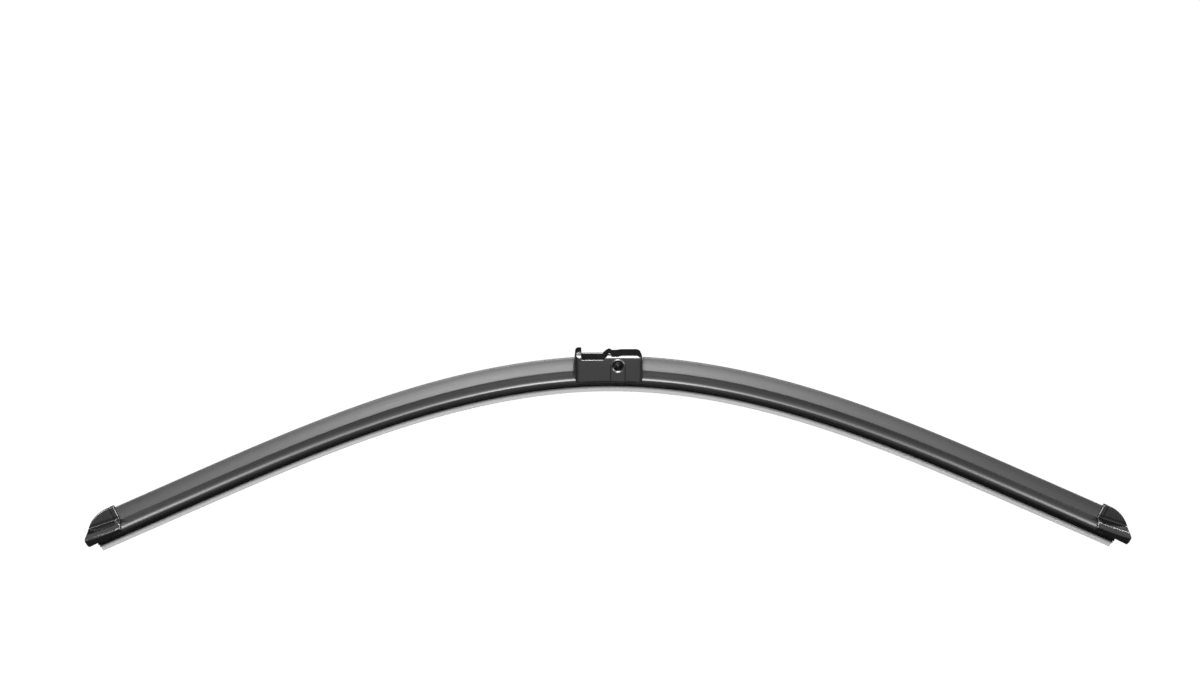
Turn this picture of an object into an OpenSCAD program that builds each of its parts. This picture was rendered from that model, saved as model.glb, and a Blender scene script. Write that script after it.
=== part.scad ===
// Flat wiper blade with a bowed spring spine, a hollow spoiler on each side of
// the housing in the middle, and a moulded cap on each end.
// Frame: X along the blade, Y across it with the bore's mouth and the hollow
// face of the spoiler towards -Y, Z away from the glass. The origin is where
// the arm pin's axis crosses the middle plane of the blade. Lengths are in mm.

/* [Blade] */
// Length of the rubber, measured along its bow
rubber_len = 600; // [480:5:700]
// Slope of the blade at its ends, in degrees
end_angle = 24.6; // [8:0.2:30]
// Straight run of the blade at each end
straight_end = 50.5; // [28:0.5:70]
// Power of the law by which the slope grows from the middle outwards
bow_power = 2.18; // [1.4:0.02:3]
// Offset of the rubber's middle from the blade's middle
rubber_shift = -1; // [-2:0.1:2]

/* [Rubber] */
// Thickness of the wiping lip at its edge
lip_t = 0.7; // [0.5:0.05:0.9]
// Width of the shoulder above the lip
shoulder_w = 4.5; // [3:0.1:5.2]
// Height of the shoulder above the lip's edge
shoulder_h = 3.4; // [2.8:0.1:3.6]
// Thickness of the neck on which the lip tilts
neck_t = 0.9; // [0.7:0.05:1.4]
// Width of the strip that covers the rails from below
cover_w = 6.2; // [5:0.1:7]
// Width of the body that carries the rails
body_w = 5.4; // [4.6:0.1:6]
// Width of the web between the rails
web_w = 1.8; // [1.4:0.1:2.4]
// Width of the head that sits on the rails
head_w = 4.6; // [3.6:0.1:5.4]
// Height of the head
head_h = 0.8; // [0.6:0.05:1]

/* [Rails] */
// Width of one spring rail
rail_w = 3.8; // [3.4:0.1:4]
// Thickness of a rail
rail_t = 0.8; // [0.6:0.05:1]
// Height of the rails' underside above the lip's edge
rail_h = 7.6; // [7.4:0.1:7.9]
// Gap between the rubber's web and each rail
web_gap = 0.1; // [0.05:0.05:0.2]
// Length of a rail past the spoiler's end, in the end cap
rail_reach = 2.5; // [1:0.5:4]

/* [Spoiler] */
// Height of the spoiler's edge above the lip's edge
spoiler_h = 19.4; // [17.5:0.1:22]
// Height of the foot's upper edge above the lip's edge
foot_h = 10.1; // [9.9:0.1:10.6]
// Wall of the foot at its lower edge, outside the rails
foot_wall = 0.75; // [0.6:0.05:0.9]
// Spread of the foot's flanks from their lower to their upper edge
foot_lean = 0.7; // [0.3:0.05:0.9]
// Thickness of the hooks under the rails
hook_t = 0.6; // [0.4:0.05:0.9]
// Length of the hooks under the rails
hook_len = 0.9; // [0.6:0.1:1.3]
// Gap between the rails and what holds them
seat_gap = 0.05; // [0.04:0.01:0.08]
// Rearward lean of the spoiler's edge from the middle plane
edge_y = 2.65; // [2:0.05:3.2]
// Thickness of the spoiler at its edge
edge_t = 0.8; // [0.6:0.1:1.2]
// Height of the fin's foot above the shelf
fin_rise = 2.5; // [2:0.1:4]
// Gap between the spoiler and the housing
spoiler_gap = 0.1; // [0.05:0.05:1]

/* [Housing] */
// Length of the housing
housing_len = 37.6; // [36:0.1:42]
// Width of the housing
housing_w = 13.5; // [13.2:0.1:15]
// Offset of the housing's middle from the blade's middle
housing_shift = -1.2; // [-6:0.2:6]
// Height of the deck above the lip's edge
deck_h = 22.5; // [21.8:0.1:25]
// Height of the window's rim above the lip's edge
rim_h = 20.1; // [19.4:0.1:20.6]
// Height of the stop at the window's outer end, above the deck
stop_rise = 1.3; // [0.6:0.1:2]
// Wall of the housing
housing_wall = 1.5; // [1.2:0.1:1.9]
// Floor of the housing
floor_t = 1.2; // [0.8:0.1:1.6]
// Height of the skirt's lower edge above the lip's edge
skirt_h = 7.7; // [7.5:0.1:8.4]
// Radius of the housing's upright corners
corner_r = 2.6; // [2:0.1:3.2]
// Radius of the long upper edges
edge_r = 2.3; // [1.6:0.1:2.4]
// Length of the window in the top
window_len = 11.7; // [9:0.1:13]

/* [Arm pin bore] */
// Radius of the bore
bore_r = 2.5; // [2.2:0.05:2.8]
// Depth of the bore
bore_len = 9; // [7:0.5:10]
// Distance of the bore from the housing's middle
bore_shift = 5.2; // [4.6:0.1:6]
// Height of the bore above the lip's edge
bore_h = 16.3; // [15.9:0.1:16.6]
// Wall of the sleeve around the bore
sleeve_wall = 1.4; // [1:0.1:1.6]
// Width of the raised pad around the bore's mouth
pad_w = 7.9; // [7.6:0.1:8.6]
// Rise of the pad from the housing's wall
pad_t = 0.35; // [0.2:0.05:0.6]
// Width of the countersink at the bore's mouth
sink_w = 0.45; // [0.3:0.05:0.7]

/* [Clamp] */
// Length of the steel clamp under the housing
clamp_len = 33; // [30:0.5:35]
// Sheet thickness of the clamp
clamp_t = 0.8; // [0.6:0.05:0.9]
// Length of each of its claws
claw_len = 7; // [4:0.5:9]
// Distance of the outer claws from the clamp's ends
claw_inset = 2; // [1:0.5:4]
// Reach of the claws under the rails
claw_reach = 1.2; // [0.8:0.1:1.5]

/* [End caps] */
// Length of a cap
cap_len = 21.5; // [20.5:0.1:26]
// Length of the blade that the cap takes in
cap_over = 15.6; // [12:0.1:16.5]
// Depth of the spoiler in the cap
cap_grip = 6; // [3:0.5:7]
// Wall of the cap around the spoiler
cap_wall = 0.8; // [0.6:0.05:1]
// Rise of the cap's top over its wall
crown = 0.3; // [0:0.1:0.6]
// Gap between the cap and the spoiler in it
cap_gap = 0.12; // [0.08:0.01:0.2]
// Length of the straight top before the cap's nose curves down
nose_start = 3.5; // [3:0.5:5]
// Height of the nose curve
nose_h = 13.3; // [12.2:0.1:14]
// Height of the cap's toe
toe_h = 4.2; // [3.4:0.1:4.6]
// Height of the cap's open lower edge above the spoiler's
lift = 0.35; // [0.2:0.05:0.6]
// Width of the collar at the cap's mouth
collar_w = 2.9; // [1.5:0.1:4]
// Depth of the cap's flanks behind the collar
collar_t = 0.3; // [0.15:0.05:0.35]

/* [Hidden] */
$fn = 96;

// Rings on each half of the bow, and small steps of its sum between two rings
bow_rings = 24;
sub_steps = 10;
half_len = rubber_len/2;
bow_len = half_len - straight_end;
ring_step = bow_len/bow_rings;
fine_step = ring_step/sub_steps;
// Height of the line whose length the bow keeps, in the middle of the rails
spine_h = rail_h + rail_t/2;

// Half widths across the blade, and heights above the lip's edge
rail_in = web_w/2 + web_gap;
rail_out = rail_in + rail_w;
groove_out = rail_out + seat_gap;
foot_low_out = groove_out + foot_wall;
foot_out = foot_low_out + foot_lean;
hook_in = groove_out - hook_len;
groove_low = rail_h - seat_gap;
groove_high = rail_h + rail_t + seat_gap;
hook_low = groove_low - hook_t;
head_low = groove_high;
head_top = head_low + head_h;
head_gap = 0.25;
roof_low = head_top + head_gap;

// Housing: places along the blade from its middle, and heights
part_gap = 0.1;
bore_x = housing_shift + bore_shift;
housing_x0 = housing_shift - housing_len/2;
housing_x1 = housing_shift + housing_len/2;
flange_top = groove_high + clamp_t;
claw_out = groove_out + clamp_t;
bridge_low = head_top + 0.15;
bridge_top = bridge_low + clamp_t;
bridge_half = rail_out - 0.9;
shell_low = flange_top + seat_gap;
floor_low = bridge_top + part_gap;
floor_top = floor_low + floor_t;
sleeve_r = bore_r + sleeve_wall;

// Caps: places along the blade from its middle
cap_mouth = half_len - cap_over;
cap_tip = cap_mouth + cap_len;
spoiler_end = cap_mouth + cap_grip;
rail_end = spoiler_end + rail_reach;
cap_out = cap_gap + cap_wall;
far = cap_tip + 40;

// The slope of the blade grows from the middle and is constant on the straight run
function slope(s) = end_angle*(1 - pow(1 - min(s, bow_len)/bow_len, bow_power));
// Sums of short steps along the slope give the places on the bow
sum_x = [for (i = 0, x = 0; i <= bow_rings*sub_steps;
    x = x + fine_step*cos(slope((i + 0.5)*fine_step)), i = i + 1) x];
sum_z = [for (i = 0, z = 0; i <= bow_rings*sub_steps;
    z = z - fine_step*sin(slope((i + 0.5)*fine_step)), i = i + 1) z];
rest = far - bow_len;
run_x = concat([for (i = [0:bow_rings]) [i*ring_step, sum_x[i*sub_steps]]],
    [[far, sum_x[bow_rings*sub_steps] + rest*cos(end_angle)]]);
run_z = concat([for (i = [0:bow_rings]) [i*ring_step, sum_z[i*sub_steps]]],
    [[far, sum_z[bow_rings*sub_steps] - rest*sin(end_angle)]]);
lean_x = concat([for (i = [0:bow_rings]) [i*ring_step, sin(slope(i*ring_step))]],
    [[far, sin(end_angle)]]);
lean_z = concat([for (i = [0:bow_rings]) [i*ring_step, cos(slope(i*ring_step))]],
    [[far, cos(end_angle)]]);

// Place of a point at height h above the lip's edge, at length s along the blade
function spot(s, h) = let (a = abs(s), up = h - spine_h) [
    sign(s)*(lookup(a, run_x) + up*lookup(a, lean_x)),
    spine_h + lookup(a, run_z) + up*lookup(a, lean_z)];
// Lengths at which a piece from s0 to s1 has its rings
right_rings = [for (i = [0:bow_rings]) i*ring_step];
all_rings = concat([for (i = [bow_rings:-1:1]) -right_rings[i]], right_rings);
function rings(s0, s1) = concat([s0],
    [for (s = all_rings) if (s > s0 + 0.5 && s < s1 - 0.5) s], [s1]);

// Arc of n + 1 points round a centre
function arc(c, r, from, to, n) = [for (i = [0:n])
    let (a = from + (to - from)*i/n) [c[0] + r*cos(a), c[1] + r*sin(a)]];
// Points on the curve that leaves a towards b and arrives at c, without its ends
function bend(a, b, c, n) = [for (i = [1:n - 1]) let (t = i/n)
    a*(1 - t)*(1 - t) + b*2*t*(1 - t) + c*t*t];
function flip(list) = [for (i = [len(list) - 1:-1:0]) list[i]];
function mirrored(list) = [for (p = flip(list)) [-p[0], p[1]]];

// Triangles that fill a closed outline: its ears are cut off one by one
function turn(a, b, c) = (b[0] - a[0])*(c[1] - a[1]) - (b[1] - a[1])*(c[0] - a[0]);
function holds(p, a, b, c) = turn(a, b, p) >= 0 && turn(b, c, p) >= 0 && turn(c, a, p) >= 0;
function is_ear(p, left, i) = let (n = len(left), before = left[(i + n - 1)%n],
    here = left[i], after = left[(i + 1)%n])
    turn(p[before], p[here], p[after]) > 0
    && len([for (j = left) if (j != before && j != here && j != after
        && holds(p[j], p[before], p[here], p[after])) j]) == 0;
function first_ear(p, left, i = 0) =
    i >= len(left) - 1 || is_ear(p, left, i) ? i : first_ear(p, left, i + 1);
function ears(p, left, cut = []) = len(left) == 3 ? concat(cut, [left])
    : let (n = len(left), e = first_ear(p, left)) ears(p,
        [for (j = [0:n - 1]) if (j != e) left[j]],
        concat(cut, [[left[(e + n - 1)%n], left[e], left[(e + 1)%n]]]));

// A profile of [across, height] points carried along the bow from s0 to s1
module along_bow(profile, s0, s1) {
    stops = rings(s0, s1);
    m = len(profile);
    last = (len(stops) - 1)*m;
    points = [for (s = stops) for (p = profile)
        let (q = spot(s, p[1])) [q[0], p[0], q[1]]];
    sides = [for (r = [0:len(stops) - 2]) for (i = [0:m - 1])
        let (j = (i + 1)%m) [(r + 1)*m + i, (r + 1)*m + j, r*m + j, r*m + i]];
    fill = ears(profile, [for (i = [0:m - 1]) i]);
    ends = concat(fill, [for (t = fill) [t[2] + last, t[1] + last, t[0] + last]]);
    polyhedron(points, concat(sides, ends), convexity = 10);
}

// A strip between two heights that follows the bow, with straight sides across
module strip(s0, s1, low, high, y0, y1) {
    stops = rings(s0, s1);
    outline = concat([for (s = stops) spot(s, low)], [for (s = flip(stops)) spot(s, high)]);
    translate([0, y1, 0]) rotate([90, 0, 0]) linear_extrude(y1 - y0) polygon(outline);
}

// Everything is built from the blade's middle and the lip's edge, then moved
module in_frame() translate([-bore_x, 0, -bore_h]) children();

// Rubber: lip, shoulder, neck, cover strip, web between the rails, head
neck_low = shoulder_h + 0.55;
cover_low = neck_low + 0.55;
cover_t = 0.95;
rubber_half = concat(
    [[lip_t/2, 0], [lip_t*0.6, shoulder_h*0.35]],
    bend([lip_t*0.6, shoulder_h*0.35], [lip_t*0.8, shoulder_h*0.8],
        [shoulder_w/2 - 0.15, shoulder_h - 0.3], 3),
    [[shoulder_w/2 - 0.15, shoulder_h - 0.3], [shoulder_w/2, shoulder_h],
        [shoulder_w/2 - 0.3, shoulder_h + 0.25], [neck_t/2, neck_low],
        [neck_t/2, cover_low - 0.2], [cover_w/2 - 0.25, cover_low],
        [cover_w/2, cover_low + 0.35], [cover_w/2, cover_low + 0.65],
        [body_w/2, cover_low + cover_t], [body_w/2, groove_low - 0.2],
        [body_w/2 - 0.2, groove_low], [web_w/2, groove_low],
        [web_w/2, head_low], [head_w/2 - 0.1, head_low + 0.05],
        [head_w/2, head_low + head_h*0.45], [head_w/2 - 0.55, head_top]]);
rubber_profile = concat(rubber_half, mirrored(rubber_half));

module squeegee() color([0.20, 0.20, 0.21])
    in_frame() along_bow(rubber_profile, rubber_shift - half_len, rubber_shift + half_len);

module rail(y0) color([0.15, 0.15, 0.16])
    in_frame() strip(-rail_end, rail_end, rail_h, rail_h + rail_t, y0, y0 + rail_w);

module front_rail() rail(-rail_out);

module rear_rail() rail(rail_in);

// Spoiler: its foot on one side, from the hook's tip round to the shelf
foot_r = 0.45;
shelf_r = 0.9;
flank_a = atan(foot_lean/(foot_h - hook_low - foot_r - shelf_r));
foot_side = concat([[hook_in, hook_low]],
    arc([foot_low_out - foot_r, hook_low + foot_r], foot_r, -90, -flank_a, 2),
    arc([foot_out - shelf_r, foot_h - shelf_r], shelf_r, -flank_a, 80, 4));
shelf_end = foot_side[len(foot_side) - 1];
edge_c = [edge_y, spoiler_h - edge_t/2];
fin_low = [edge_y - edge_t/2 - 0.15, foot_h + fin_rise];
valley = [fin_low[0] - 0.2, foot_h + fin_rise/2];
rear_bend = [edge_y + 0.9, (spoiler_h + foot_h)/2 - 1];
spoiler_rear = bend(shelf_end, rear_bend, edge_c + [edge_t/2, 0], 6);
spoiler_outer = concat(foot_side, spoiler_rear, arc(edge_c, edge_t/2, 0, 180, 4),
    [fin_low], bend(fin_low, valley, [-shelf_end[0], shelf_end[1]], 8),
    mirrored(foot_side));
// Its inside: a groove for the rail on each side, and the hollow over the head
groove_side = [[hook_in, groove_low], [groove_out, groove_low],
    [groove_out, groove_high], [hook_in - 0.1, groove_high], [hook_in - 0.3, roof_low - 0.3]];
roof_y = 0.8 - hook_in;
hollow_top = [fin_low[0] + 1, foot_h + fin_rise - 0.6];
spoiler_inner = concat([for (p = groove_side) [-p[0], p[1]]], [[roof_y, roof_low]],
    bend([roof_y, roof_low], [edge_y - 1.2, roof_low], hollow_top, 4),
    [hollow_top],
    bend(hollow_top, [edge_y + 1.2, foot_h + 0.2], groove_side[4], 3),
    flip(groove_side));
spoiler_profile = concat(spoiler_outer, spoiler_inner);

// The end at the housing follows the housing's own outline, one gap away
module spoiler(s0, s1, side) color([0.28, 0.28, 0.29]) in_frame() difference() {
    along_bow(spoiler_profile, s0, s1);
    translate([housing_shift + side*spoiler_gap, 0, 0]) across(3*housing_w) polygon(end_cut);
}

spoiler_start = 2;
module left_spoiler() spoiler(-spoiler_end, housing_x0 + spoiler_start, -1);

module right_spoiler() spoiler(housing_x1 - spoiler_start, spoiler_end, 1);

// Clamp: a folded steel saddle over the rubber's head, with a flange on each
// rail and four claws that fold round the rails' outer edges
clamp_x0 = housing_shift - clamp_len/2;
clamp_x1 = housing_shift + clamp_len/2;
claw_in = groove_out - claw_reach;
claw_low = groove_low - clamp_t;
clamp_r = 0.4;
clamp_outer = concat([[claw_in, claw_low]],
    arc([claw_out - clamp_r, claw_low + clamp_r], clamp_r, -90, 0, 2),
    arc([claw_out - clamp_r, flange_top - clamp_r], clamp_r, 0, 90, 2),
    [[bridge_half, flange_top]],
    arc([bridge_half - clamp_r, bridge_top - clamp_r], clamp_r, 0, 90, 2));
clamp_inner = [[bridge_half - clamp_t, bridge_low], [bridge_half - clamp_t, groove_high],
    [groove_out, groove_high], [groove_out, groove_low], [claw_in, groove_low]];
clamp_profile = concat(clamp_outer, mirrored(clamp_outer),
    [for (p = flip(clamp_inner)) [-p[0], p[1]]], clamp_inner);

// Between and beside the claws the flange ends at the rail's edge
module claw_break(s0, s1) for (side = [0, 1]) mirror([0, side, 0]) {
    strip(s0, s1, claw_low - 1, spine_h, claw_in - 1, claw_out + 1);
    strip(s0, s1, spine_h - 0.1, flange_top + 1, rail_out, claw_out + 1);
}

module rail_clamp() color([0.16, 0.16, 0.17]) in_frame() difference() {
    along_bow(clamp_profile, clamp_x0, clamp_x1);
    claw_break(clamp_x0 - 1, clamp_x0 + claw_inset);
    claw_break(clamp_x0 + claw_inset + claw_len, clamp_x1 - claw_inset - claw_len);
    claw_break(clamp_x1 - claw_inset, clamp_x1 + 1);
}

// Housing: outline seen from the side, from its middle and the lip's edge
h_half = housing_len/2;
post_x = 4.3 - h_half;
window_x1 = post_x + window_len;
peak_rise = 0.6;
notch_d = 0.65;
corner_low = spot(h_half, skirt_h)[1];
stop_h = deck_h + stop_rise;
upper_outline = concat(
    // The closed end, rounded down from the deck
    [for (p = [[0, 5], [0.1, 3.7], [0.7, 2.4], [1.55, 0.9], [2.5, 0.1], [3.1, 0]])
        [h_half - p[0], deck_h - p[1]]],
    // Deck, notch, peak and the ramp down to the window
    [for (p = [[9.8, 0], [8, -notch_d], [4.8, -notch_d], [4.3, 0.3], [3.7, peak_rise],
        [3, peak_rise - 0.1]]) [window_x1 + p[0], deck_h + p[1]]],
    [[window_x1, rim_h], [post_x, rim_h]],
    // Stop at the window's outer end, and the slope outside it
    [for (p = [[0, 0.6], [0.3, 0.3], [1.2, 0], [2.3, 0], [2.9, 0.4], [3.3, 1], [3.8, 5.8]])
        [post_x - p[0], stop_h - p[1]]],
    [[-h_half, stop_h - 9]]);
side_outline = concat(
    [[-h_half, corner_low + 1.4], [0.4 - h_half, corner_low + 0.4], [1.4 - h_half, corner_low],
        [2 - h_half, 0], [h_half - 2, 0], [h_half - 1.4, corner_low],
        [h_half - 0.4, corner_low + 0.4], [h_half, corner_low + 1.4]], upper_outline);
end_cut = concat([[-h_half, -10], [h_half, -10]], upper_outline);

module rounded_plan(l, w, r) {
    square([l - 2*r, w], center = true);
    square([l, w - 2*r], center = true);
    for (x = [-1, 1]) for (y = [-1, 1]) translate([x*(l/2 - r), y*(w/2 - r)]) circle(r);
}

module across(w) translate([0, w/2, 0]) rotate([90, 0, 0]) linear_extrude(w) children();

module housing_body() intersection() {
    linear_extrude(60) rounded_plan(housing_len, housing_w, corner_r);
    across(housing_w + 2) polygon(side_outline);
    rotate([90, 0, 90]) linear_extrude(housing_len + 2, center = true) upper_edges();
}

// Outline seen along the blade, with the long upper edges rounded
module upper_edges() {
    arc_h = deck_h - edge_r + 0.25;
    translate([-housing_w/2, 0]) square([housing_w, arc_h]);
    translate([-housing_w/2 + edge_r, 0]) square([housing_w - 2*edge_r, stop_h + 1]);
    for (side = [-1, 1]) translate([side*(housing_w/2 - edge_r), arc_h]) circle(edge_r);
}

// The hollow over the floor, under the deck and up through the window
deck_t = housing_wall + 1;
ramp_in = window_x1 + 0.4;
module housing_hollow() {
    l = housing_len - 2*housing_wall;
    w = housing_w - 2*housing_wall;
    end_x = h_half - deck_t - 0.4;
    intersection() {
        translate([0, 0, floor_top]) linear_extrude(30) rounded_plan(l, w, corner_r/2);
        across(w) polygon([[post_x, 0], [end_x, 0], [end_x, deck_h - deck_t],
            [ramp_in + 1, deck_h - deck_t], [ramp_in - 1, rim_h + 0.5], [ramp_in - 1, 40],
            [post_x, 40]]);
    }
}

// Pad with an arched top round the bore's mouth
pad_low = skirt_h - 1;
module bore_pad(w, t) across_near(t) {
    circle(w/2);
    translate([-w/2, pad_low - bore_h]) square([w, bore_h - pad_low]);
}
module across_near(t) translate([bore_shift, -housing_w/2 + 0.2, bore_h])
    rotate([90, 0, 0]) linear_extrude(t + 0.2) children();

bore_mouth = -housing_w/2 - pad_t;
module connector_housing() color([0.13, 0.13, 0.14]) in_frame() difference() {
    translate([housing_shift, 0, 0]) {
        difference() {
            housing_body();
            housing_hollow();
        }
        bore_pad(pad_w, pad_t);
        translate([bore_shift, bore_mouth + bore_len + housing_wall, bore_h])
            rotate([90, 0, 0]) cylinder(h = bore_len + housing_wall - pad_t - 0.2, r = sleeve_r);
    }
    translate([bore_x, bore_mouth + bore_len, bore_h]) rotate([90, 0, 0])
        cylinder(h = bore_len + 1, r = bore_r);
    translate([bore_x, bore_mouth + sink_w, bore_h]) rotate([90, 0, 0])
        cylinder(h = sink_w, r1 = bore_r, r2 = bore_r + sink_w);
    // Below: open under the skirt, free of the clamp's claws, flange and bridge
    under(-8, skirt_h, housing_w);
    under(skirt_h - 1, shell_low, claw_out + part_gap);
    under(shell_low - 1, floor_low, bridge_half + 2*part_gap);
}
module under(low, high, half) strip(housing_x0 - 2, housing_x1 + 2, low, high, -half, half);

// End caps: a section of their own over the spoiler's, with ridges along the
// front, cut by a side outline with a blunt toe and an elliptic nose. Both lie
// in the straight frame of the blade's end, from the cap's mouth
cap_low = hook_low + lift;
cap_top = spoiler_h + cap_out + crown;
cap_c = [nose_start, cap_top - nose_h];
cap_a = cap_len - nose_start;
toe_top = cap_low + toe_h;
toe_rise = 1.8;
core_inset = cap_wall + 0.45;
core_low = cap_low + 1.6;
core_end = cap_over + abs(rubber_shift) + 0.3;
function nose(inset, low) = let (b = nose_h - inset, from = asin((low - cap_c[1])/b))
    [for (i = [0:12]) let (a = from + (90 - from)*i/12)
        [cap_c[0] + (cap_a - inset)*cos(a), cap_c[1] + b*sin(a)]];
cap_outline = concat([[-1, cap_low], [cap_len - 0.8, cap_low], [cap_len - 0.1, cap_low + 0.8],
    [cap_len, cap_low + 1.7], [cap_len, toe_top]], nose(0, toe_top + toe_rise),
    [[-1, cap_top]]);
core_outline = concat([[-1, 0], [core_end, 0], [core_end, core_low]],
    nose(core_inset, core_low), [[-1, cap_top - core_inset]]);

// Section of the cap, from the rear's lower edge over the top to the front's
flank_out = cap_out - collar_t;
ridge_y = foot_out + flank_out;
cap_outer = concat([[foot_low_out + flank_out, cap_low - 1],
    [foot_low_out + flank_out, cap_low], [ridge_y, foot_h]],
    [for (p = spoiler_rear) p + [flank_out, 0.3]],
    [[edge_y + edge_t/2 + flank_out, spoiler_h], [edge_y + edge_t, cap_top],
        [edge_y - edge_t, cap_top], [edge_y - edge_t/2 - flank_out, cap_top - 0.3],
        [edge_y - 1.35, foot_h + 4.1], [edge_y - 1.15, foot_h + 2.8],
        [3 - ridge_y, foot_h + 1.6], [-ridge_y, foot_h],
        [-foot_low_out - flank_out, cap_low], [-foot_low_out - flank_out, cap_low - 1]]);
module cap_hollow() offset(r = cap_gap, $fn = 16) polygon(spoiler_outer);
module cap_run(x0, x1) translate([x0, 0, 0]) rotate([90, 0, 90]) linear_extrude(x1 - x0) children();

module end_cap_body() difference() {
    intersection() {
        union() {
            cap_run(0, cap_len) polygon(cap_outer);
            cap_run(0, collar_w) offset(delta = collar_t) polygon(cap_outer);
        }
        across(40) polygon(cap_outline);
    }
    cap_run(-1, cap_grip + 0.3) cap_hollow();
    intersection() {
        cap_run(0, cap_len) cap_hollow();
        across(40) polygon(core_outline);
    }
}

module end_frame(side) {
    p = spot(cap_mouth, spine_h);
    mirror([side < 0 ? 1 : 0, 0, 0]) translate([p[0], 0, p[1]])
        rotate([0, end_angle, 0]) translate([0, 0, -spine_h]) children();
}

module left_end_cap() color([0.10, 0.10, 0.11]) in_frame() end_frame(-1) end_cap_body();

module right_end_cap() color([0.10, 0.10, 0.11]) in_frame() end_frame(1) end_cap_body();

squeegee();
front_rail();
rear_rail();
left_spoiler();
right_spoiler();
rail_clamp();
connector_housing();
left_end_cap();
right_end_cap();
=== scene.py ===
# %% [markdown]
# # A flat wiper blade
#
# A flat blade has no visible frame. Two flat spring rails lie in the rubber's
# grooves and press the lip on the glass, a hollow spoiler is pushed over the
# rails from each end, a housing in the middle takes the arm's pin, and a
# moulded cap closes each end. Everything follows one bow, so the whole scene
# is worked out in two measures: the length s along the blade from its middle,
# and the height n above the edge of the lip.

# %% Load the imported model
import math

import bpy
import numpy as np
from mathutils import Matrix, Vector


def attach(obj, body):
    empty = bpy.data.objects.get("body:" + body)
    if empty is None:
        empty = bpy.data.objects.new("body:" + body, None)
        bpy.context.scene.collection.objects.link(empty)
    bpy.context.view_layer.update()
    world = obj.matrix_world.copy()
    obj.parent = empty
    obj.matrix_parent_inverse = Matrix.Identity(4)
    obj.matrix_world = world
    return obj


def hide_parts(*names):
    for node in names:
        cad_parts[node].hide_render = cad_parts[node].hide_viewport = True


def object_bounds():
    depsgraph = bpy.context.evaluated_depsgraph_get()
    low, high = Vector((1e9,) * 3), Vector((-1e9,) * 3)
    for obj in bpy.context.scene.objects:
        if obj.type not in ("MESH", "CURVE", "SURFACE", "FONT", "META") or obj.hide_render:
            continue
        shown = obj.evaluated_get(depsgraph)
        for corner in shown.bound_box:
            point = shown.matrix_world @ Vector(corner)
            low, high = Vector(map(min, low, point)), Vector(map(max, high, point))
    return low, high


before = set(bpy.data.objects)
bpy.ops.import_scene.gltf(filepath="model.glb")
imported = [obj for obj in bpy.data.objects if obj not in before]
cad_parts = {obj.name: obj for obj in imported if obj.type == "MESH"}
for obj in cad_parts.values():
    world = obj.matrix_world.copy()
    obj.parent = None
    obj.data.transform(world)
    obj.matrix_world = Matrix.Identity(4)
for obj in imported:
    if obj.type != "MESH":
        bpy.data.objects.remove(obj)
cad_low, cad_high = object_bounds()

MM = 0.001
print("solids in the frame:", ", ".join(sorted(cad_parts)))

# %% [markdown]
# ## The bow
#
# The real rails are rolled with a curvature that is strongest in the middle
# and fades towards the ends, so that an even pressure reaches the glass. A
# formula for the slope is the shortest honest description of that: the places
# along the blade then come from adding up short steps in the slope's
# direction. A Bezier curve would look alike, but its length would have to be
# tuned by hand, and the rubber has to measure 600 mm along the bow.

# %% The bow's law
HALF_LEN = 300.0
END_ANGLE = math.radians(24.6)
STRAIGHT_END = 50.5
BOW_POWER = 2.18
SPINE_H = 8.0
BORE_X, BORE_H = 4.0, 16.3

BOW_LEN = HALF_LEN - STRAIGHT_END
table_s = np.linspace(0.0, HALF_LEN + 30.0, 6601)
table_mid = (table_s[1:] + table_s[:-1]) / 2


def slope(s):
    """End angle times one minus (the part of the bow still to come) to the power; constant past the bow."""
    left = 1.0 - np.minimum(np.abs(s), BOW_LEN) / BOW_LEN
    return END_ANGLE * (1.0 - left**BOW_POWER)


table_step = table_s[1] - table_s[0]
table_x = np.concatenate([[0.0], np.cumsum(np.cos(slope(table_mid))) * table_step])
table_z = np.concatenate([[0.0], -np.cumsum(np.sin(slope(table_mid))) * table_step])


def place(s, y, n):
    """Place of the spine at length s, plus n minus the spine's height along the bow's normal, in metres."""
    a, side = np.abs(s), np.sign(s)
    up = n - SPINE_H
    x = side * (np.interp(a, table_s, table_x) + up * np.sin(slope(a)))
    z = SPINE_H + np.interp(a, table_s, table_z) + up * np.cos(slope(a))
    return np.stack([x - BORE_X, y + 0.0 * x, z - BORE_H], axis=-1) * MM


ends_at = place(np.array([HALF_LEN]), np.array([0.0]), np.array([0.0]))[0]
print("the lip's edge", HALF_LEN, "mm along the bow lies at", ends_at.round(4), "m")

# %% [markdown]
# ## Profiles
#
# Rubber, rails and spoiler are extrusions: one outline, the same from end to
# end. An outline is kept as its few corners, each with the size of its
# rounding, because no moulded edge is sharp and the fine highlights on this
# blade all sit on such edges.


# %% Outlines with rounded corners
def rounded(corners, steps=4):
    """Each corner c gives way to (1-t)^2 a + 2t(1-t) c + t^2 b, where a and b lie one radius from c."""
    c = np.asarray(corners, float)
    point, radius = c[:, :2], c[:, 2:3]
    to_next = np.roll(point, -1, axis=0) - point
    length = np.linalg.norm(to_next, axis=1, keepdims=True)
    ahead = to_next / length
    room = 0.48 * np.minimum(length, np.roll(length, 1, axis=0))
    radius = np.minimum(radius, room)
    a = point - np.roll(ahead, 1, axis=0) * radius
    b = point + ahead * radius
    t = np.linspace(0.0, 1.0, steps + 1)[None, :, None]
    curve = (1 - t) ** 2 * a[:, None] + 2 * t * (1 - t) * point[:, None] + t**2 * b[:, None]
    curve = curve.reshape(-1, 2)
    gap = np.linalg.norm(curve - np.roll(curve, 1, axis=0), axis=1)
    return curve[gap > 1e-4]


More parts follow.
